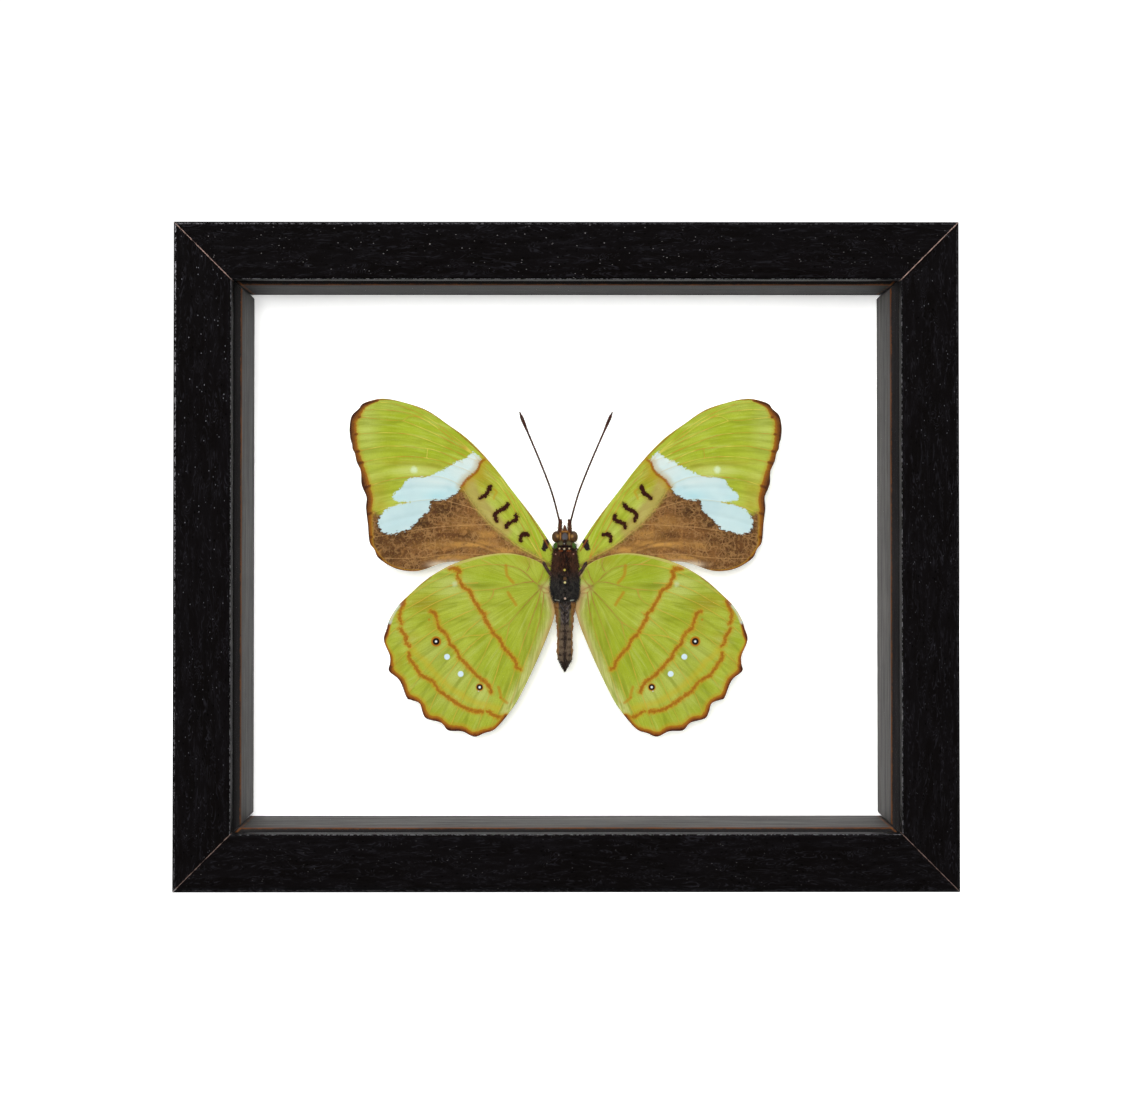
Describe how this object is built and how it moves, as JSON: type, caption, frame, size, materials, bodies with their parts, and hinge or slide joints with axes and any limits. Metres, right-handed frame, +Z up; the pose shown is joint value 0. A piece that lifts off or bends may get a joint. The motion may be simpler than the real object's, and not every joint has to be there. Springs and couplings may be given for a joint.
{
  "type": "framed butterfly specimen",
  "caption": "Mitred black wood box frame with a glass front, holding a pinned green and brown butterfly with its wings spread above a white board.",
  "frame": {"origin": "middle of the underside of the frame, at the middle of its depth", "axes": "+X to the right as seen from the front, +Z up, the glass faces -Y"},
  "size_m": [0.13, 0.034, 0.1108],
  "materials": {
    "black_wood": "satin black stain over open pores",
    "liner_stain": "satin black stain, rubbed at the edge",
    "glass": "clear",
    "white_board": "matte",
    "brown_panel": "matte hardboard",
    "tab_steel": "satin",
    "hanger_steel": "satin",
    "rivet_steel": "satin",
    "pin_steel": "satin",
    "head_brown": "dry, hairy",
    "thorax_brown": "dry, hairy",
    "abdomen_grey": "dry, scaled",
    "antenna_brown": "dry, smooth",
    "palp_brown": "dry, scaled",
    "leg_brown": "dry, scaled",
    "forewing_green": "matte scales",
    "hindwing_green": "matte scales"
  },
  "bodies": {
    "root": {"rail_top": "black_wood", "rail_bottom": "black_wood", "rail_left": "black_wood", "rail_right": "black_wood", "liner_top": "liner_stain", "liner_bottom": "liner_stain", "liner_left": "liner_stain", "liner_right": "liner_stain", "glass_pane": "glass", "mount_board": "white_board", "back_panel": "brown_panel", "tab_top_left": "tab_steel", "tab_top_right": "tab_steel", "tab_bottom_left": "tab_steel", "tab_bottom_right": "tab_steel", "tab_left": "tab_steel", "tab_right": "tab_steel", "hanger_strip": "hanger_steel", "rivet_left": "rivet_steel", "rivet_right": "rivet_steel", "mounting_pin": "pin_steel", "head": "head_brown", "thorax": "thorax_brown", "abdomen": "abdomen_grey", "antenna_left": "antenna_brown", "antenna_right": "antenna_brown", "palp_left": "palp_brown", "palp_right": "palp_brown", "forewing_left": "forewing_green", "forewing_right": "forewing_green", "hindwing_left": "hindwing_green", "hindwing_right": "hindwing_green", "leg_mid_left": "leg_brown", "leg_mid_right": "leg_brown", "leg_hind_left": "leg_brown", "leg_hind_right": "leg_brown"}
  },
  "joints": []
}
